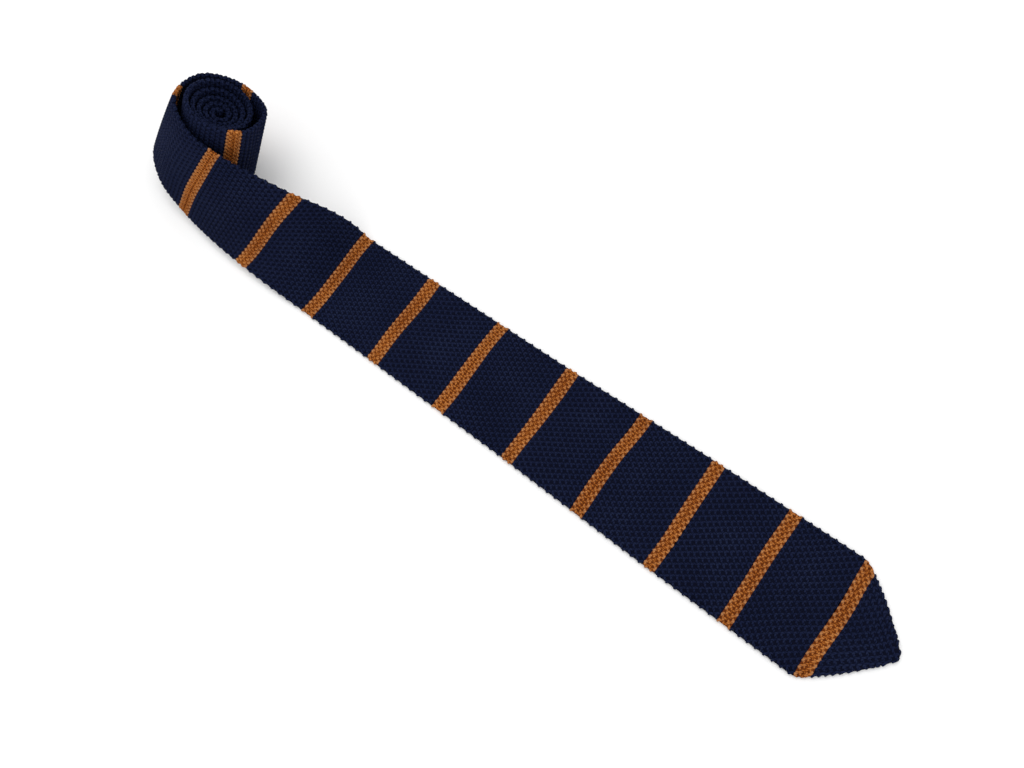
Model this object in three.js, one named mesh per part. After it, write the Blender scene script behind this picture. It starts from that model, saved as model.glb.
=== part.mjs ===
// Knit tie laid down: the blade flat and straight, the narrow end rolled up and standing on edge.
// The tie is one flattened knitted tube, navy with a mustard stripe every few courses.
// Each run of one colour is a solid of its own, so that it can carry its own yarn.
// Millimetres, +Z up. The origin is under the middle of the first stripe, at the blade's shoulders.
// The tip points along +X, and the surface that the tie lies on is Z = 0.

import * as THREE from 'three';

// Stripes
const STRIPE_COUNT = 13;
const STRIPE_PITCH = 38.9;
const STRIPE_LENGTH = 6.5;
const YARN_GAP = 0.3;

// Flattened tube
const FABRIC_THICKNESS = 2.5;
const BLADE_WIDTH = 62;
const NECK_WIDTH = 38;
const TAPER_LENGTH = 660;

// Pointed end: the shoulders lie just behind the middle of the first stripe
const SHOULDER_AT = 2.7;
const POINT_LENGTH = 33;
const POINT_SKEW = 2.4;
const POINT_CURVE = { start: 1.1, end: 0.85 };
const POINT_STEPS = 10;
const TIP_SPAN = 0.02;

// Turn of the band from flat to standing, and the roll inside it
const FLAT_LENGTH = 272;
const TURN_RADIUS = 19.5;
const WRAP_CLEARANCE = 0.4;
const CORE_RADIUS = 1.9;

// The roll's lower middle and axis as in the table below, then its size in turn radii,
// how oval it is, how far each turn inwards sinks along the axis and where the spiral starts.
const ROLL = {
  back: 4.33, side: 1.62, up: 0.42, lean: 66.5, swing: 23, radius: 0.93, oval: 1.06, sink: 0.2, start: -60,
};

// Where the band lifts off the surface its knit is pushed together by this share, for so many rows.
const LIFT_GATHER = 0.075;
const LIFT_ROWS = 2;

// How finely the band is faceted
const ROLL_STEP = 20;
const SAMPLES_PER_SPAN = 8;
const FACET_TURN = 10;
const FACET_LENGTH = 17;
const EDGE_SIDES = 3;
const FACE_SPANS = 4;

// Width of the band as it narrows from the blade to the neck.
// at: share of the taper's length. width: 1 is the blade's width and 0 the neck's.
const TAPER = [
  { at: 0.00, width: 1.00 },
  { at: 0.12, width: 0.85 },
  { at: 0.24, width: 0.62 },
  { at: 0.36, width: 0.48 },
  { at: 0.60, width: 0.26 },
  { at: 1.00, width: 0.00 },
];

// Outer turn of the band, a row for each half stripe pitch from where it leaves the surface.
// back, side, up: the lower edge, in turn radii from the end of the flat blade's lower edge.
// lean, swing: direction across the band, in degrees up from the surface and round from +Y.
// bow: how far the middle stands out from the edges, as a share of the band's width.
const TURN = [
  { back: 1.00, side: -0.01, up: 0.10, lean: 20, swing:  9, bow: 0.015 },
  { back: 2.00, side:  0.01, up: 0.18, lean: 36, swing: 18, bow: 0.03 },
  { back: 3.00, side:  0.09, up: 0.20, lean: 47, swing: 22, bow: 0.04 },
  { back: 3.96, side:  0.24, up: 0.26, lean: 55, swing: 29, bow: 0.04 },
  { back: 4.88, side:  0.50, up: 0.53, lean: 59, swing: 42, bow: 0.025 },
  { back: 5.59, side:  1.14, up: 0.55, lean: 63, swing: 45, bow: 0.01 },
  { back: 5.46, side:  2.04, up: 0.22, lean: 67, swing: 36, bow: 0 },
  { back: 4.54, side:  2.44, up: 0.04, lean: 68, swing: 27, bow: 0 },
  { back: 3.53, side:  2.18, up: 0.05, lean: 67, swing: 21, bow: 0 },
  { back: 3.30, side:  1.34, up: 0.41, lean: 66, swing: 16, bow: 0 },
];

const NAVY = { color: 0x1c2340, roughness: 0.85, metalness: 0 };
const MUSTARD = { color: 0xa8661f, roughness: 0.85, metalness: 0 };

const WRAP_PITCH = FABRIC_THICKNESS + WRAP_CLEARANCE;
const ROLL_RADIUS = ROLL.radius * TURN_RADIUS - WRAP_PITCH;
const TIP_AT = SHOULDER_AT - POINT_LENGTH;

// Width of the band at a distance from the middle of the first stripe, towards the neck.
function widthAt(along) {
  if (along < SHOULDER_AT) {
    const share = Math.min((SHOULDER_AT - along) / POINT_LENGTH, 1);
    return BLADE_WIDTH * (1 - share ** POINT_CURVE.start) ** POINT_CURVE.end;
  }
  const at = Math.min((along - SHOULDER_AT) / TAPER_LENGTH, 1);
  const next = Math.max(TAPER.findIndex((row) => row.at >= at), 1);
  const from = TAPER[next - 1];
  const to = TAPER[next];
  const share = from.width + (to.width - from.width) * (at - from.at) / (to.at - from.at);
  return NECK_WIDTH + share * (BLADE_WIDTH - NECK_WIDTH);
}

// Half the distance between the two edge centres of the tube, each half a thickness inside its edge.
function halfSpan(along) {
  return Math.max(widthAt(along) - FABRIC_THICKNESS, TIP_SPAN) / 2;
}

// Direction across the band, from its lower edge to its upper edge.
function acrossFrom(lean, swing) {
  const up = THREE.MathUtils.degToRad(lean);
  const round = THREE.MathUtils.degToRad(swing);
  return new THREE.Vector3(Math.cos(up) * Math.sin(round), Math.cos(up) * Math.cos(round), Math.sin(up));
}

// Control points of the band past its flat run: lower edge, direction across and bow.
function turnControls() {
  const flatEdge = (along) => new THREE.Vector3(-along, -halfSpan(along), FABRIC_THICKNESS / 2);
  const home = flatEdge(FLAT_LENGTH);
  const place = ({ back, side, up }) => new THREE.Vector3(-back, side, up).multiplyScalar(TURN_RADIUS).add(home);
  const controls = [TURN_RADIUS, 0].map((before) => (
    { edge: flatEdge(FLAT_LENGTH - before), across: acrossFrom(0, 0), bow: 0 }));
  for (const row of TURN) {
    controls.push({ edge: place(row), across: acrossFrom(row.lean, row.swing), bow: row.bow });
  }

  // The roll is a flattened spiral in a plane square to its leaning axis, wound clockwise inwards.
  const axis = acrossFrom(ROLL.lean, ROLL.swing);
  const right = new THREE.Vector3(1, 0, 0).addScaledVector(axis, -axis.x).normalize();
  const away = new THREE.Vector3().crossVectors(axis, right);
  const centre = place(ROLL);
  const turns = (ROLL_RADIUS - CORE_RADIUS) / WRAP_PITCH;
  for (let turned = 0; turned <= turns * 360; turned += ROLL_STEP) {
    const angle = THREE.MathUtils.degToRad(ROLL.start - turned);
    const radius = ROLL_RADIUS - WRAP_PITCH * turned / 360;
    const edge = centre.clone()
      .addScaledVector(right, ROLL.oval * radius * Math.cos(angle))
      .addScaledVector(away, radius * Math.sin(angle))
      .addScaledVector(axis, ROLL.sink * (radius - ROLL_RADIUS));
    controls.push({ edge, across: axis, bow: 0 });
  }
  return controls;
}

// Fine samples of the whole band, each with its distance along the tie.
function sampleBand() {
  const samples = [];
  for (let along = TIP_AT; along < FLAT_LENGTH; along += TURN_RADIUS / SAMPLES_PER_SPAN) {
    const skew = POINT_SKEW * Math.max(SHOULDER_AT - along, 0) / POINT_LENGTH;
    const centre = new THREE.Vector3(-along, skew, FABRIC_THICKNESS / 2);
    samples.push({ along, centre, across: acrossFrom(0, 0), bow: 0 });
  }
  const controls = turnControls();
  const edgeLine = new THREE.CatmullRomCurve3(controls.map((control) => control.edge), false, 'centripetal');
  const acrossLine = new THREE.CatmullRomCurve3(controls.map((control) => control.across), false, 'catmullrom', 0.5);
  const spans = controls.length - 1;
  for (let step = SAMPLES_PER_SPAN; step <= spans * SAMPLES_PER_SPAN; step += 1) {
    const share = step / (spans * SAMPLES_PER_SPAN);
    const across = acrossLine.getPoint(share).normalize();
    const before = Math.min(Math.floor(step / SAMPLES_PER_SPAN), spans - 1);
    const part = step / SAMPLES_PER_SPAN - before;
    const bow = THREE.MathUtils.lerp(controls[before].bow, controls[before + 1].bow, part);
    const last = samples[samples.length - 1];
    const centre = edgeLine.getPoint(share).addScaledVector(across, halfSpan(last.along));
    const gather = step <= (LIFT_ROWS + 1) * SAMPLES_PER_SPAN ? 1 + LIFT_GATHER : 1;
    samples.push({ along: last.along + gather * centre.distanceTo(last.centre), centre, across, bow });
  }
  return samples;
}

const SAMPLES = sampleBand();
const BAND_END = SAMPLES[SAMPLES.length - 1].along;
SAMPLES.forEach((sample, index) => {
  const ahead = SAMPLES[Math.min(index + 1, SAMPLES.length - 1)];
  const behind = SAMPLES[Math.max(index - 1, 0)];
  sample.heading = ahead.centre.clone().sub(behind.centre).normalize();
});

// Centre, direction across, heading, outward face direction and bow of the band at a distance along it.
function frameAt(along) {
  const found = SAMPLES.findIndex((sample) => sample.along > along);
  const next = found < 0 ? SAMPLES.length - 1 : Math.max(found, 1);
  const from = SAMPLES[next - 1];
  const to = SAMPLES[next];
  const part = THREE.MathUtils.clamp((along - from.along) / (to.along - from.along), 0, 1);
  const across = from.across.clone().lerp(to.across, part).normalize();
  const heading = from.heading.clone().lerp(to.heading, part).normalize();
  return {
    along,
    centre: from.centre.clone().lerp(to.centre, part),
    across,
    heading,
    face: across.clone().cross(heading).normalize(),
    bow: THREE.MathUtils.lerp(from.bow, to.bow, part),
  };
}

// Stations of one section: a new one wherever the band has turned or run far enough.
function stationsBetween(start, end) {
  const stations = [frameAt(start)];
  for (const sample of SAMPLES) {
    if (sample.along <= start || sample.along >= end) {
      continue;
    }
    const last = stations[stations.length - 1];
    const here = frameAt(sample.along);
    const turned = Math.max(last.heading.angleTo(here.heading), last.across.angleTo(here.across));
    if (turned > THREE.MathUtils.degToRad(FACET_TURN) || sample.along - last.along > FACET_LENGTH) {
      stations.push(here);
    }
  }
  stations.push(frameAt(end));
  return stations;
}

// Stations of the pointed end, closer together towards the tip.
function pointStations(end) {
  const stations = [];
  for (let step = 0; step <= POINT_STEPS; step += 1) {
    const share = 1 - Math.cos((step / POINT_STEPS) * Math.PI / 2);
    stations.push(frameAt(TIP_AT + share * (end - TIP_AT)));
  }
  return stations;
}

// Closed outline of the flattened tube at a station: two faces joined by round folded edges.
function ringAt(frame) {
  const half = halfSpan(frame.along);
  const bulge = frame.bow * widthAt(frame.along);
  const radius = FABRIC_THICKNESS / 2;
  const ring = [];
  const add = (across, out) => {
    const rise = bulge * (1 - Math.min(Math.abs(across) / half, 1) ** 2);
    ring.push(frame.centre.clone().addScaledVector(frame.across, across).addScaledVector(frame.face, out + rise));
  };
  for (const side of [1, -1]) {
    for (let span = 0; span < FACE_SPANS; span += 1) {
      add(side * half * (2 * span / FACE_SPANS - 1), side * radius);
    }
    for (let corner = 0; corner < EDGE_SIDES; corner += 1) {
      const angle = Math.PI * corner / EDGE_SIDES;
      add(side * (half + radius * Math.sin(angle)), side * radius * Math.cos(angle));
    }
  }
  return ring;
}

// Closed solid through a row of stations.
function loft(stations) {
  const rings = stations.map(ringAt);
  const count = rings[0].length;
  const positions = rings.flat().flatMap((point) => point.toArray());
  const indices = [];
  for (let row = 0; row < rings.length - 1; row += 1) {
    for (let corner = 0; corner < count; corner += 1) {
      const here = row * count + corner;
      const beside = row * count + (corner + 1) % count;
      indices.push(here, beside, here + count, beside, beside + count, here + count);
    }
  }
  const lastRow = (rings.length - 1) * count;
  for (let corner = 1; corner < count / 2; corner += 1) {
    const pairs = [[corner - 1, corner, count - corner], [corner, count - corner - 1, count - corner]];
    for (const [a, b, c] of pairs) {
      const first = [a % count, b % count, c % count];
      if (new Set(first).size === 3) {
        indices.push(first[0], first[2], first[1]);
        indices.push(lastRow + first[0], lastRow + first[1], lastRow + first[2]);
      }
    }
  }
  const geometry = new THREE.BufferGeometry();
  geometry.setAttribute('position', new THREE.Float32BufferAttribute(positions, 3));
  geometry.setIndex(indices);
  geometry.computeVertexNormals();
  return geometry;
}

const tie = new THREE.Group();

function addSection(name, yarn, stations) {
  const mesh = new THREE.Mesh(loft(stations), new THREE.MeshStandardMaterial(yarn));
  mesh.name = name;
  tie.add(mesh);
}

const numbered = (name, number) => `${name}_${String(number).padStart(2, '0')}`;
const stripeAt = (number) => (number - 1) * STRIPE_PITCH;
const panelReach = STRIPE_LENGTH / 2 + YARN_GAP;

addSection('blade_point', NAVY, pointStations(-panelReach));
for (let number = 1; number <= STRIPE_COUNT; number += 1) {
  const middle = stripeAt(number);
  addSection(numbered('stripe', number), MUSTARD,
    stationsBetween(middle - STRIPE_LENGTH / 2, middle + STRIPE_LENGTH / 2));
  if (number < STRIPE_COUNT) {
    addSection(numbered('panel', number), NAVY,
      stationsBetween(middle + panelReach, stripeAt(number + 1) - panelReach));
  }
}

// Past the last stripe the navy runs on: the neck, and then the tail to the core of the roll.
const neckStart = stripeAt(STRIPE_COUNT) + panelReach;
const neckEnd = neckStart + (BAND_END - neckStart) / 2;
addSection('neck', NAVY, stationsBetween(neckStart, neckEnd - YARN_GAP / 2));
addSection('tail', NAVY, stationsBetween(neckEnd + YARN_GAP / 2, BAND_END));

export default tie;
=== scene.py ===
# Knit tie laid down: its wide end flat and straight, its narrow end rolled up and standing on edge.
# Metres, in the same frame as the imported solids: the origin is under the middle of the first stripe,
# the tip points along +X and the surface that the tie lies on is Z = 0.

import math

import bpy
import numpy as np
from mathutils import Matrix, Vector


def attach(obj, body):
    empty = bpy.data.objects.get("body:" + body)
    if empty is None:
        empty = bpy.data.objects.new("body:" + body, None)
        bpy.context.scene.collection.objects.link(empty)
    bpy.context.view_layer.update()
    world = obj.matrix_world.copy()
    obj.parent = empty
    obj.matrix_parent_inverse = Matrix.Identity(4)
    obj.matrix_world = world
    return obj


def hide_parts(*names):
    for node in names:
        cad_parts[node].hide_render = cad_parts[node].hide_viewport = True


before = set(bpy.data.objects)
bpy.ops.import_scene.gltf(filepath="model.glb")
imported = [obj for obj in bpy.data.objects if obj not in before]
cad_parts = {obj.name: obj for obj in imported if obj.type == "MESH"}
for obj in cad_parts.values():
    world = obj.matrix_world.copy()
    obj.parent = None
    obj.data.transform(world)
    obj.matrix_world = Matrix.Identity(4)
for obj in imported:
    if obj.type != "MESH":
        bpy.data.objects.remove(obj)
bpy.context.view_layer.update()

MM = 0.001


# Camera
# It looks down on the tie from beyond its lower edge, turned so that the blade runs down to the right.
# Its place and its lens were fitted to the outline and the stripes of the tie.
CAMERA_AT = (-84.2 * MM, -119.8 * MM, 478.9 * MM)
CAMERA_DOWN = 72.15
CAMERA_TURNED = 35.98
CAMERA_LENS = 38.67

camera_data = bpy.data.cameras.new("camera")
camera_data.lens = CAMERA_LENS
camera = bpy.data.objects.new("camera", camera_data)
camera.location = CAMERA_AT
camera.rotation_euler = (math.radians(90 - CAMERA_DOWN), 0, math.radians(CAMERA_TURNED))
bpy.context.scene.collection.objects.link(camera)
bpy.context.scene.camera = camera


# Flattened tube
# The tie is one tube knitted in rounds and pressed flat, so that its two layers lie on each other.
# This is its course through space: flat for the blade, then up on its edge and into the roll.
STRIPE_PITCH = 38.9 * MM
FABRIC_THICKNESS = 2.5 * MM
BLADE_WIDTH = 62 * MM
NECK_WIDTH = 38 * MM
TAPER_LENGTH = 660 * MM
SHOULDER_AT = 2.7 * MM
POINT_LENGTH = 33 * MM
POINT_SKEW = 2.4 * MM
POINT_CURVE = {"start": 1.1, "end": 0.85}
FLAT_LENGTH = 272 * MM
TURN_RADIUS = 19.5 * MM
WRAP_CLEARANCE = 0.4 * MM
WRAP_PITCH = FABRIC_THICKNESS + WRAP_CLEARANCE
CORE_RADIUS = 1.9 * MM
TIP_SPAN = 0.02 * MM
TIP_AT = SHOULDER_AT - POINT_LENGTH
ROLL_STEP = 20
SAMPLES_PER_SPAN = 8

# Where the band lifts off the surface its knit is pushed together by this share, for so many rows.
LIFT_GATHER = 0.075
LIFT_ROWS = 2

# The roll: its place as in the table below, its size in turn radii, and the angles of its axis.
ROLL = {"back": 4.33, "side": 1.62, "up": 0.42, "lean": 66.5, "swing": 23,
        "radius": 0.93, "oval": 1.06, "sink": 0.2, "start": -60}

# Share of the taper's length, and the width there, from 1 at the blade to 0 at the neck.
TAPER = {"at": (0.0, 0.12, 0.24, 0.36, 0.60, 1.0), "width": (1.0, 0.85, 0.62, 0.48, 0.26, 0.0)}

# A row for each half stripe pitch of the outer turn, from where the band leaves the surface:
# the lower edge, in turn radii, then the direction across the band, in degrees, and its bow.
TURN_COLUMNS = ("back", "side", "up", "lean", "swing", "bow")
TURN = (
    (1.00, -0.01, 0.10, 20, 9, 0.015),
    (2.00, 0.01, 0.18, 36, 18, 0.03),
    (3.00, 0.09, 0.20, 47, 22, 0.04),
    (3.96, 0.24, 0.26, 55, 29, 0.04),
    (4.88, 0.50, 0.53, 59, 42, 0.025),
    (5.59, 1.14, 0.55, 63, 45, 0.01),
    (5.46, 2.04, 0.22, 67, 36, 0),
    (4.54, 2.44, 0.04, 68, 27, 0),
    (3.53, 2.18, 0.05, 67, 21, 0),
    (3.30, 1.34, 0.41, 66, 16, 0),
)


def unit(vectors):
    """The same directions, each with a length of one."""
    return vectors / np.linalg.norm(vectors, axis=-1, keepdims=True)


def width_at(along):
    """Width of the pressed tube at a distance along the tie, counted from the first stripe."""
    if along < SHOULDER_AT:
        share = min((SHOULDER_AT - along) / POINT_LENGTH, 1)
        return BLADE_WIDTH * (1 - share ** POINT_CURVE["start"]) ** POINT_CURVE["end"]
    at = (along - SHOULDER_AT) / TAPER_LENGTH
    return NECK_WIDTH + float(np.interp(at, TAPER["at"], TAPER["width"])) * (BLADE_WIDTH - NECK_WIDTH)


def half_span(along):
    """Half the width between the middles of the two rounded folds."""
    return max(width_at(along) - FABRIC_THICKNESS, TIP_SPAN) / 2


def across_from(lean, swing):
    """Direction across the band, from its lean off the surface and its swing round."""
    lean, swing = math.radians(lean), math.radians(swing)
    flat = math.cos(lean)
    return np.array([flat * math.sin(swing), flat * math.cos(swing), math.sin(lean)])


def turn_controls():
    """Lower edge, direction across and bow at each control of the outer turn and of the roll."""
    def flat_edge(along):
        return np.array([-along, -half_span(along), FABRIC_THICKNESS / 2])

    def place(row):
        return flat_edge(FLAT_LENGTH) + TURN_RADIUS * np.array([-row["back"], row["side"], row["up"]])

    controls = [(flat_edge(FLAT_LENGTH - before), across_from(0, 0), 0) for before in (TURN_RADIUS, 0)]
    for values in TURN:
        row = dict(zip(TURN_COLUMNS, values))
        controls.append((place(row), across_from(row["lean"], row["swing"]), row["bow"]))

    axis = across_from(ROLL["lean"], ROLL["swing"])
    right = unit(np.array([1, 0, 0]) - axis[0] * axis)
    away = np.cross(axis, right)
    outer = ROLL["radius"] * TURN_RADIUS - WRAP_PITCH
    for turned in range(0, int((outer - CORE_RADIUS) / WRAP_PITCH * 360) + 1, ROLL_STEP):
        angle = math.radians(ROLL["start"] - turned)
        radius = outer - WRAP_PITCH * turned / 360
        edge = (place(ROLL) + right * ROLL["oval"] * radius * math.cos(angle)
                + away * radius * math.sin(angle) + axis * ROLL["sink"] * (radius - outer))
        controls.append((edge, axis, 0))
    return [np.array(column, float) for column in zip(*controls)]


def spline(points, centripetal):
    """Catmull-Rom curve through the points, as SAMPLES_PER_SPAN steps for each span."""
    padded = np.vstack([2 * points[0] - points[1], points, 2 * points[-1] - points[-2]])
    found = []
    for span in range(len(points) - 1):
        p0, p1, p2, p3 = padded[span:span + 4]
        if centripetal:
            d0, d1, d2 = (math.sqrt(np.linalg.norm(b - a)) for a, b in ((p0, p1), (p1, p2), (p2, p3)))
            start = ((p1 - p0) / d0 - (p2 - p0) / (d0 + d1) + (p2 - p1) / d1) * d1
            end = ((p2 - p1) / d1 - (p3 - p1) / (d1 + d2) + (p3 - p2) / d2) * d1
        else:
            start, end = (p2 - p0) / 2, (p3 - p1) / 2
        for step in range(SAMPLES_PER_SPAN):
            t = step / SAMPLES_PER_SPAN
            found.append(p1 + t * start + t * t * (3 * (p2 - p1) - 2 * start - end)
                         + t ** 3 * (2 * (p1 - p2) + start + end))
    return np.array(found + [points[-1]])


def band_samples():
    """Distance along the tie, centre, direction across, outward face and bow at close steps."""
    along = list(np.arange(TIP_AT, FLAT_LENGTH, TURN_RADIUS / SAMPLES_PER_SPAN))
    centre = [np.array([-at, POINT_SKEW * max(SHOULDER_AT - at, 0) / POINT_LENGTH, FABRIC_THICKNESS / 2])
              for at in along]
    across = [across_from(0, 0)] * len(along)
    bow = [0.0] * len(along)
    edges, acrosses, bows = turn_controls()
    edge_line = spline(edges, True)
    across_line = unit(spline(acrosses, False))
    bow_line = np.interp(np.arange(len(edge_line)) / SAMPLES_PER_SPAN, np.arange(len(bows)), bows)
    for index in range(SAMPLES_PER_SPAN, len(edge_line)):
        here = edge_line[index] + across_line[index] * half_span(along[-1])
        gather = 1 + LIFT_GATHER if index <= (LIFT_ROWS + 1) * SAMPLES_PER_SPAN else 1
        along.append(along[-1] + gather * float(np.linalg.norm(here - centre[-1])))
        centre.append(here)
        across.append(across_line[index])
        bow.append(float(bow_line[index]))
    centre, across = np.array(centre), np.array(across)
    heading = unit(np.vstack([centre[1] - centre[0], centre[2:] - centre[:-2], centre[-1] - centre[-2]]))
    face = unit(np.cross(across, heading))
    return np.array(along), centre, across, face, np.array(bow)


along_band, centre, across, face, bow = band_samples()
BAND_END = along_band[-1]


# Knit
# Each round of yarn runs to and fro in a wave about its course, and each second round is half a
# wave on, so that the crests hook over the round before and leave a lattice of small holes.
# A plain tube inside the rounds stands for the yarn of the layers below, in the yarn's colour darkened as
# painted shade.
STRIPE_COURSES = 4
STRIPE_COURSE_PITCH = 1.38 * MM
STRIPE_REACH = (STRIPE_COURSES - 1) / 2 * STRIPE_COURSE_PITCH
PANEL_COURSES = 15
PANEL_COURSE_PITCH = (STRIPE_PITCH - 2 * STRIPE_REACH) / (PANEL_COURSES + 1)
STITCHES_ON_FACE = 18
POINTS_PER_STITCH = 6

# The yarn: its radius, how far its crests stand out and swing along the tie, and how far its
# courses and the dark tube inside them lie from the middle of the tie.
YARN_SIDES = 6
YARN_RADIUS = 0.67 * MM
YARN_RELIEF = 0.24 * MM
YARN_WAVE = 0.78 * MM
YARN_DEPTH = FABRIC_THICKNESS / 2 - YARN_RADIUS - YARN_RELIEF
CORE_REACH = 0.56 * MM
CORE_SIDES = 40

# The courses wander a little along the tie, so the stripes aren't ruled lines.
DRIFT = 2.4 * MM
DRIFTS_PER_METRE = 24
DRIFTS_ACROSS = 1.7

# Share of a stitch by which the twist of each round's yarn is moved on from the round before.
TWIST_SHIFT = 0.618

shoulder_round = half_span(SHOULDER_AT) * 2 + math.pi * YARN_DEPTH
spans = np.array([half_span(at) for at in along_band])
share_of_round = (spans * 2 + math.pi * YARN_DEPTH) / shoulder_round
waves = np.where(along_band < SHOULDER_AT, share_of_round, 1) * STITCHES_ON_FACE
bulge = bow * np.array([width_at(at) for at in along_band])

band = bpy.data.meshes.new("band")
band.from_pydata(centre.tolist(), [(step, step + 1) for step in range(len(centre) - 1)], [])
section = np.stack([spans, bulge, waves], axis=1)
for name, values in (("across", across), ("face", face), ("section", section)):
    attribute = band.attributes.new(name, "FLOAT_VECTOR", "POINT")
    attribute.data.foreach_set("vector", values.astype(np.float32).ravel())


class Field:
    """A number in a node tree, so that a formula in nodes reads as one."""

    def __init__(self, tree, socket):
        self.tree, self.socket = tree, socket

    def apply(self, operation, other=None):
        node = add_node(self.tree, "ShaderNodeMath", self, other, operation=operation)
        return Field(self.tree, node.outputs[0])

    def __add__(self, other):
        return self.apply("ADD", other)

    def __sub__(self, other):
        return self.apply("SUBTRACT", other)

    def __mul__(self, other):
        return self.apply("MULTIPLY", other)

    def __truediv__(self, other):
        return self.apply("DIVIDE", other)


def add_node(tree, kind, *values, **settings):
    """A node with its settings, and its first inputs joined or set in order. None leaves one alone."""
    node = tree.nodes.new(kind)
    for name, value in settings.items():
        setattr(node, name, value)
    for socket, value in zip([socket for socket in node.inputs if socket.enabled], values):
        if isinstance(value, Field):
            tree.links.new(value.socket, socket)
        elif isinstance(value, bpy.types.NodeSocket):
            tree.links.new(value, socket)
        elif value is not None:
            socket.default_value = value
    return node


def new_tree(name, inputs, output):
    """An empty node tree with named inputs. Gives the tree, its inputs as fields and its output node."""
    tree = bpy.data.node_groups.new(name, "GeometryNodeTree")
    for label, kind in inputs:
        tree.interface.new_socket(label, in_out="INPUT", socket_type="NodeSocket" + kind)
    tree.interface.new_socket(output[0], in_out="OUTPUT", socket_type="NodeSocket" + output[1])
    entry = tree.nodes.new("NodeGroupInput")
    given = {label: Field(tree, entry.outputs[label]) for label, kind in inputs}
    return tree, given, tree.nodes.new("NodeGroupOutput")


def sampled(tree, band_line, name, along):
    """A value kept on the band's line, at a distance along it, and the place there."""
    value = add_node(tree, "GeometryNodeInputNamedAttribute", name, data_type="FLOAT_VECTOR").outputs[0]
    node = add_node(tree, "GeometryNodeSampleCurve", band_line, value, along,
                    data_type="FLOAT_VECTOR", mode="LENGTH")
    return node.outputs["Value"], node.outputs["Position"]


def stored(tree, geometry, name, value):
    """The geometry with a number kept on its points under a name."""
    node = add_node(tree, "GeometryNodeStoreNamedAttribute", geometry, None, name, value)
    return node.outputs[0]


def parts_of(tree, vector):
    """The three numbers of a vector, as fields."""
    node = add_node(tree, "ShaderNodeSeparateXYZ", vector)
    return [Field(tree, socket) for socket in node.outputs]


def moved(tree, start, direction, distance):
    """A place moved some distance along a direction."""
    scaled = add_node(tree, "ShaderNodeVectorMath", direction, operation="SCALE")
    tree.links.new(distance.socket, scaled.inputs["Scale"])
    return add_node(tree, "ShaderNodeVectorMath", start, scaled.outputs[0], operation="ADD").outputs[0]


def tube_tree():
    """A place on the flattened tube: a distance along it, a share round it and a reach from its middle."""
    tree, given, output = new_tree("on the tube", [
        ("Band", "Geometry"), ("Along", "Float"), ("Round", "Float"), ("Reach", "Float"), ("Fold", "Float"),
        ("Drift", "Float"),
    ], ("Position", "Vector"))
    beyond = given["Round"] * 2 - 1
    side = (beyond * -1).apply("SIGN")
    across_share = beyond.apply("ABSOLUTE") * -1 + 0.5
    spot = add_node(tree, "ShaderNodeCombineXYZ",
                    given["Along"] * DRIFTS_PER_METRE, across_share * DRIFTS_ACROSS)
    noise = add_node(tree, "ShaderNodeTexNoise", spot.outputs[0], noise_dimensions="2D")
    noise.inputs["Scale"].default_value = 1
    noise.inputs["Detail"].default_value = 0
    along = given["Along"] + (Field(tree, noise.outputs[0]) - 0.5) * given["Drift"]
    across_here, centre_here = sampled(tree, given["Band"], "across", along)
    face_here, _ = sampled(tree, given["Band"], "face", along)
    section_here, _ = sampled(tree, given["Band"], "section", along)
    half, rise, _ = parts_of(tree, section_here)
    offset = across_share * (half * 2 + given["Fold"] * math.pi)
    distance = offset.apply("ABSOLUTE")
    angle = (distance - half).apply("MAXIMUM", 0.0) / given["Fold"]
    outward = distance.apply("MINIMUM", half) + given["Reach"] * angle.apply("SINE")
    share = (outward / half).apply("MINIMUM", 1.0)
    lift = side * given["Reach"] * angle.apply("COSINE") + rise * (share * share * -1 + 1)
    place = moved(tree, centre_here, across_here, offset.apply("SIGN") * outward)
    place = moved(tree, place, face_here, lift)
    tree.links.new(place, output.inputs[0])
    return tree


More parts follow.
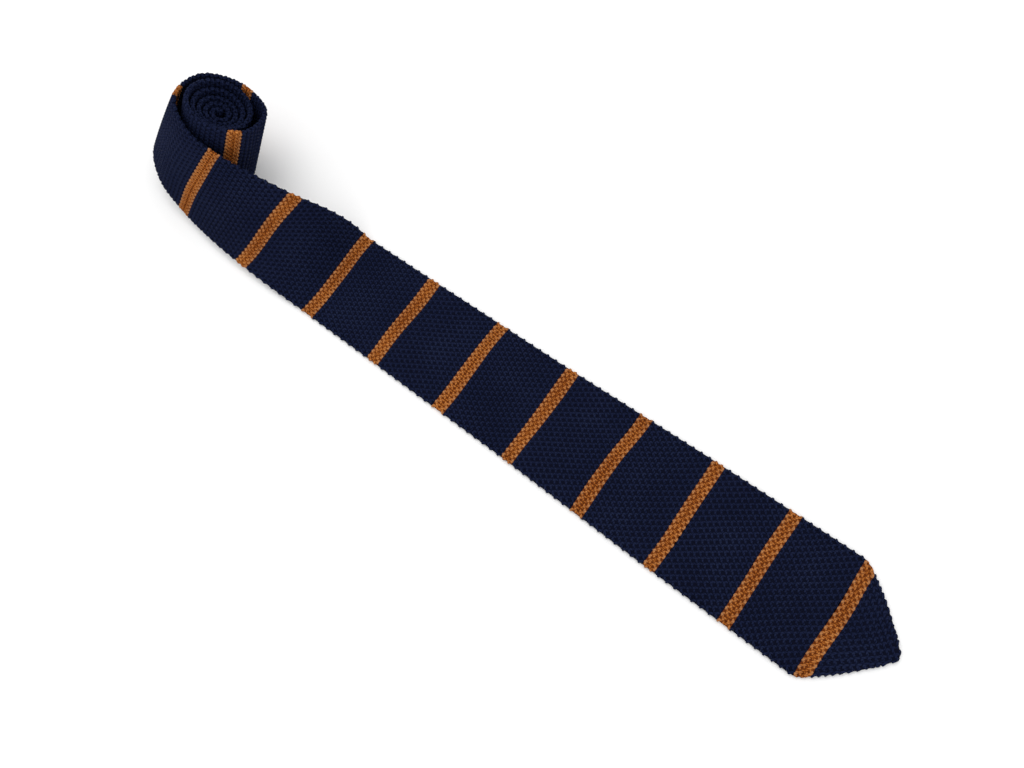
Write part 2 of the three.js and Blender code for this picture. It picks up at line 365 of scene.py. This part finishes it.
def knit_tree(on_tube):
    """Rounds of wavy yarn on the tube, and a tube in painted shade inside them that shows between them."""
    tree, given, output = new_tree("knit", [
        ("Band", "Geometry"), ("First number", "Float"), ("Courses", "Int"),
        ("Start", "Float"), ("Pitch", "Float"), ("Courses turned over", "Float"), ("Drift", "Float"),
        ("Ring points", "Int"), ("Wave", "Float"), ("Relief", "Float"), ("Depth", "Float"),
        ("Yarn radius", "Float"), ("Yarn sides", "Int"), ("Core reach", "Float"), ("Core sides", "Int"),
        ("Core end", "Float"), ("Yarn", "Material"), ("Shade", "Material"),
    ], ("Knit", "Geometry"))
    band_line = add_node(tree, "GeometryNodeMeshToCurve", given["Band"]).outputs[0]

    def on_the_tube(along, share, reach):
        node = add_node(tree, "GeometryNodeGroup", node_tree=on_tube)
        for label, value in (("Along", along), ("Round", share), ("Reach", reach),
                             ("Fold", given["Depth"]), ("Drift", given["Drift"])):
            tree.links.new(value.socket, node.inputs[label])
        tree.links.new(band_line, node.inputs["Band"])
        return node.outputs[0]

    line = add_node(tree, "GeometryNodeMeshLine", given["Courses"]).outputs[0]
    ring = add_node(tree, "GeometryNodeCurvePrimitiveCircle", given["Ring points"]).outputs[0]
    rings = add_node(tree, "GeometryNodeInstanceOnPoints", line, None, ring).outputs[0]
    rings = add_node(tree, "GeometryNodeRealizeInstances", rings).outputs[0]
    index = Field(tree, add_node(tree, "GeometryNodeInputIndex").outputs[0])
    course = (index / given["Ring points"]).apply("FLOOR")
    share = (index - course * given["Ring points"]) / given["Ring points"]
    number = course + given["First number"]
    middle = course * given["Pitch"] + given["Start"]
    section_here, _ = sampled(tree, band_line, "section", middle)
    stitches = parts_of(tree, section_here)[2]
    offset = (share * 2 - 1).apply("ABSOLUTE") * -1 + 0.5
    crest = ((offset * stitches * 2 + number) * math.pi).apply("COSINE")
    raised = crest * (course + 0.5 - given["Courses turned over"]).apply("SIGN")
    place = on_the_tube(middle + given["Wave"] * crest, share, given["Depth"] + given["Relief"] * raised)
    rings = add_node(tree, "GeometryNodeSetPosition", rings, None, place).outputs[0]
    rings = stored(tree, rings, "yarn_run", share * stitches * 2 + number * TWIST_SHIFT)
    rings = stored(tree, rings, "yarn_raised", raised)
    outer = ((course + 0.5) / given["Courses"] * 2 - 1).apply("ABSOLUTE")
    rings = stored(tree, rings, "yarn_outer", outer)
    profile = tree.nodes.new("GeometryNodeCurvePrimitiveCircle")
    tree.links.new(given["Yarn sides"].socket, profile.inputs["Resolution"])
    tree.links.new(given["Yarn radius"].socket, profile.inputs["Radius"])
    angle = index / given["Yarn sides"] * (2 * math.pi)
    profile = stored(tree, profile.outputs[0], "yarn_round_x", angle.apply("COSINE"))
    profile = stored(tree, profile, "yarn_round_y", angle.apply("SINE"))
    yarn = add_node(tree, "GeometryNodeCurveToMesh", rings, profile).outputs[0]
    yarn = add_node(tree, "GeometryNodeSetShadeSmooth", yarn).outputs[0]
    yarn = add_node(tree, "GeometryNodeSetMaterial", yarn, None, given["Yarn"]).outputs[0]

    body = add_node(tree, "GeometryNodeMeshCylinder", given["Core sides"], given["Courses"])
    body.inputs["Depth"].default_value = 1
    turned = parts_of(tree, add_node(tree, "GeometryNodeInputPosition").outputs[0])
    core_turn = add_node(tree, "ShaderNodeMath", turned[1], turned[0], operation="ARCTAN2")
    core_share = Field(tree, core_turn.outputs[0]) / (2 * math.pi) + 0.5
    core_length = (given["Courses"] - 1) * given["Pitch"] + given["Core end"] * 2
    core_along = (turned[2] + 0.5) * core_length + given["Start"] - given["Core end"]
    core_place = on_the_tube(core_along, core_share, given["Core reach"])
    core = add_node(tree, "GeometryNodeSetPosition", body.outputs[0], None, core_place).outputs[0]
    core = add_node(tree, "GeometryNodeSetMaterial", core, None, given["Shade"]).outputs[0]

    knit = tree.nodes.new("GeometryNodeJoinGeometry")
    tree.links.new(yarn, knit.inputs[0])
    tree.links.new(core, knit.inputs[0])
    knit = add_node(tree, "GeometryNodeRealizeInstances", knit.outputs[0]).outputs[0]
    tree.links.new(knit, output.inputs[0])
    return tree


knit = knit_tree(tube_tree())


def knit_piece(name, start, pitch, courses, number, yarn, turned_over=0, reach=0, sides=YARN_SIDES):
    """A run of courses from a distance along the tie, as one finished piece that stands for its solid."""
    base = bpy.data.objects.new(name + "_courses", band)
    bpy.context.scene.collection.objects.link(base)
    modifier = base.modifiers.new("knit", "NODES")
    modifier.node_group = knit
    sizes = {
        "First number": float(number), "Courses": courses, "Start": start - TIP_AT, "Pitch": pitch,
        "Courses turned over": float(turned_over), "Drift": DRIFT,
        "Ring points": 2 * STITCHES_ON_FACE * POINTS_PER_STITCH, "Wave": YARN_WAVE,
        "Relief": YARN_RELIEF, "Depth": YARN_DEPTH + reach, "Yarn radius": YARN_RADIUS, "Yarn sides": sides,
        "Core reach": CORE_REACH + reach, "Core sides": CORE_SIDES, "Core end": PANEL_COURSE_PITCH / 2,
        "Yarn": yarn["knit"], "Shade": yarn["inside"],
    }
    for item in knit.interface.items_tree:
        if item.in_out == "INPUT" and item.name in sizes:
            modifier[item.identifier] = sizes[item.name]
    evaluated = base.evaluated_get(bpy.context.evaluated_depsgraph_get())
    mesh = bpy.data.meshes.new_from_object(evaluated)
    bpy.data.objects.remove(base)
    mesh.name = name
    piece = bpy.data.objects.new(name + "_knit", mesh)
    bpy.context.scene.collection.objects.link(piece)
    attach(piece, "root")
    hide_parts(name)


# Yarns
# Matt spun yarn of two twisted plies, in navy and in mustard. The grooves between the plies and
# the foot of each stitch are painted darker as shade, the crests that stand out are painted lighter, and the
# fibres on top catch the light.
PLY_TURNS = 2
FIBRE_SCALE = 2600
GRAIN_SCALE = 900
PATCH_SCALE = 45
YARN_ROUGHNESS = 0.9
YARN_SPECULAR = 0.08
BUMP_DISTANCE = 0.2 * MM
FIBRE_BUMP = 0.5

# How far each of these lightens or darkens the yarn. The ply and raised weights are painted shade in the
# ply grooves and at the foot of each stitch and painted light on the crests; grain and patch are tone that
# differs at random.
SHADE = {"ply": 0.75, "raised": 0.15, "fibre": 0.5, "grain": 0.9, "patch": 0.7}


def yarn_material(name, deep, plain, pale, tip=None):
    """Yarn from deep to pale, with its own colour for the tips of the crests at a piece's two ends."""
    material = bpy.data.materials.new(name)
    material.use_nodes = True
    tree = material.node_tree
    shader = tree.nodes["Principled BSDF"]
    place = add_node(tree, "ShaderNodeTexCoord").outputs["Object"]

    def kept(label):
        node = tree.nodes.new("ShaderNodeAttribute")
        node.attribute_name = label
        return Field(tree, node.outputs["Fac"])

    def noise(scale):
        node = add_node(tree, "ShaderNodeTexNoise", place, noise_dimensions="3D")
        node.inputs["Scale"].default_value = scale
        return Field(tree, node.outputs[0])

    turn = kept("yarn_run") * (2 * math.pi * PLY_TURNS)
    turned = kept("yarn_round_x") * turn.apply("COSINE") + kept("yarn_round_y") * turn.apply("SINE")
    ply = turned.apply("ABSOLUTE")
    fibre = noise(FIBRE_SCALE)
    # Painted shade and light: the ply grooves and the foot of each stitch are darkened, the raised crests
    # lightened.
    level = ply * SHADE["ply"] + kept("yarn_raised") * SHADE["raised"] + (fibre - 0.5) * SHADE["fibre"]
    level = level + (noise(GRAIN_SCALE) - 0.5) * SHADE["grain"] + (noise(PATCH_SCALE) - 0.5) * SHADE["patch"]
    ramp = tree.nodes.new("ShaderNodeValToRGB")
    tree.links.new(level.socket, ramp.inputs[0])
    ramp.color_ramp.elements.new(0.5)
    for element, colour in zip(ramp.color_ramp.elements, (deep, plain, pale)):
        element.color = (*colour, 1)

    tips = tree.nodes.new("ShaderNodeMix")
    tips.data_type = "RGBA"
    share = (kept("yarn_raised") * kept("yarn_outer")).apply("MAXIMUM", 0.0)
    tree.links.new(share.socket, tips.inputs["Factor"])
    tree.links.new(ramp.outputs[0], tips.inputs["A"])
    tips.inputs["B"].default_value = (*(tip or plain), 1)
    tree.links.new(tips.outputs["Result"], shader.inputs["Base Color"])
    shader.inputs["Roughness"].default_value = YARN_ROUGHNESS
    shader.inputs["Specular IOR Level"].default_value = YARN_SPECULAR

    bump = tree.nodes.new("ShaderNodeBump")
    bump.inputs["Distance"].default_value = BUMP_DISTANCE
    bump.inputs["Strength"].default_value = 1.0
    tree.links.new((ply + fibre * FIBRE_BUMP).socket, bump.inputs["Height"])
    tree.links.new(bump.outputs[0], shader.inputs["Normal"])
    return material


NAVY = {
    "knit": yarn_material("navy yarn", deep=(0.0017, 0.0034, 0.0147), plain=(0.0060, 0.0099, 0.036),
                          pale=(0.0145, 0.0210, 0.054)),
    # The navy inside colours are the navy yarn darkened: painted shade in the holes between the stitches.
    "inside": yarn_material("navy inside", deep=(0.002, 0.003, 0.012), plain=(0.003, 0.0045, 0.018),
                            pale=(0.004, 0.006, 0.022)),
}
MUSTARD = {
    "knit": yarn_material("mustard yarn", deep=(0.075, 0.014, 0.002), plain=(0.325, 0.090, 0.0125),
                          pale=(0.56, 0.215, 0.048), tip=(0.43, 0.205, 0.090)),
    # The mustard inside colours are the mustard yarn darkened: painted shade in the holes between the
    # stitches.
    "inside": yarn_material("mustard inside", deep=(0.12, 0.026, 0.004), plain=(0.19, 0.045, 0.006),
                            pale=(0.26, 0.070, 0.010)),
}


# Pointed end
# The wide end of the tie, in navy yarn. From the shoulders on each round has fewer stitches than the
# one before, down to the tip, where the yarn is fastened off.
POINT_COURSES = 12
point_start = -STRIPE_REACH - POINT_COURSES * PANEL_COURSE_PITCH
knit_piece("blade_point", point_start, PANEL_COURSE_PITCH, POINT_COURSES, -POINT_COURSES, NAVY)


# Stripes and panels
# The knitter changes to mustard yarn for a stripe and back to navy for the panel after it. A stripe's
# crests stand out along both of its edges, and a panel's stitches all hook the same way.
STRIPE_COUNT = 13
for number in range(1, STRIPE_COUNT + 1):
    middle = (number - 1) * STRIPE_PITCH
    first = (number - 1) * (STRIPE_COURSES + PANEL_COURSES)
    knit_piece(f"stripe_{number:02d}", middle - STRIPE_REACH, STRIPE_COURSE_PITCH, STRIPE_COURSES,
               first, MUSTARD, turned_over=STRIPE_COURSES / 2)
    if number < STRIPE_COUNT:
        knit_piece(f"panel_{number:02d}", middle + STRIPE_REACH + PANEL_COURSE_PITCH, PANEL_COURSE_PITCH,
                   PANEL_COURSES, first + STRIPE_COURSES, NAVY)


# Neck and tail
# The navy yarn's last long run, from the last stripe to the core of the roll, as two pieces. Rolled
# up, its layers are pulled taut, so its yarn stands out a little more and its turns lie close.
ROLL_REACH = 0.2 * MM
ROLL_YARN_SIDES = 5
neck_start = (STRIPE_COUNT - 1) * STRIPE_PITCH + STRIPE_REACH + PANEL_COURSE_PITCH
neck_first = (STRIPE_COUNT - 1) * (STRIPE_COURSES + PANEL_COURSES) + STRIPE_COURSES
rolled_courses = int((BAND_END - neck_start) / PANEL_COURSE_PITCH)
neck_courses = rolled_courses // 2
knit_piece("neck", neck_start, PANEL_COURSE_PITCH, neck_courses, neck_first, NAVY,
           reach=ROLL_REACH, sides=ROLL_YARN_SIDES)
knit_piece("tail", neck_start + neck_courses * PANEL_COURSE_PITCH, PANEL_COURSE_PITCH,
           rolled_courses - neck_courses, neck_first + neck_courses, NAVY,
           reach=ROLL_REACH, sides=ROLL_YARN_SIDES)


# Surface and light
# A plain white surface under an even white sky, bright enough to wash it out, and a large window high
# up beyond the roll that leaves one short soft shadow beside it.
FLOOR_SIZE = 4
FLOOR_COLOUR = (0.98, 0.98, 0.98, 1)
SKY_COLOUR = (1, 1, 1, 1)
SKY_STRENGTH = 0.98
WINDOW_POWER = 4.5
WINDOW_SIZE = 0.8
WINDOW_AT = (-0.70, 0.12, 1.4)
WINDOW_AIMED_AT = (-0.2, 0, 0)

floor_mesh = bpy.data.meshes.new("floor")
half_floor = FLOOR_SIZE / 2
floor_mesh.from_pydata([(-half_floor, -half_floor, 0), (half_floor, -half_floor, 0),
                        (half_floor, half_floor, 0), (-half_floor, half_floor, 0)], [], [(0, 1, 2, 3)])
floor = bpy.data.objects.new("floor", floor_mesh)
bpy.context.scene.collection.objects.link(floor)
floor_material = bpy.data.materials.new("floor")
floor_material.use_nodes = True
floor_material.node_tree.nodes["Principled BSDF"].inputs["Base Color"].default_value = FLOOR_COLOUR
floor_mesh.materials.append(floor_material)

world = bpy.data.worlds.new("world")
world.use_nodes = True
world.node_tree.nodes["Background"].inputs["Color"].default_value = SKY_COLOUR
world.node_tree.nodes["Background"].inputs["Strength"].default_value = SKY_STRENGTH
bpy.context.scene.world = world
bpy.context.scene.view_settings.view_transform = "Standard"

light_data = bpy.data.lights.new("window", "AREA")
light_data.energy = WINDOW_POWER
light_data.size = WINDOW_SIZE
light = bpy.data.objects.new("window", light_data)
light.location = WINDOW_AT
light.rotation_euler = (Vector(WINDOW_AIMED_AT) - light.location).to_track_quat("-Z", "Y").to_euler()
bpy.context.scene.collection.objects.link(light)
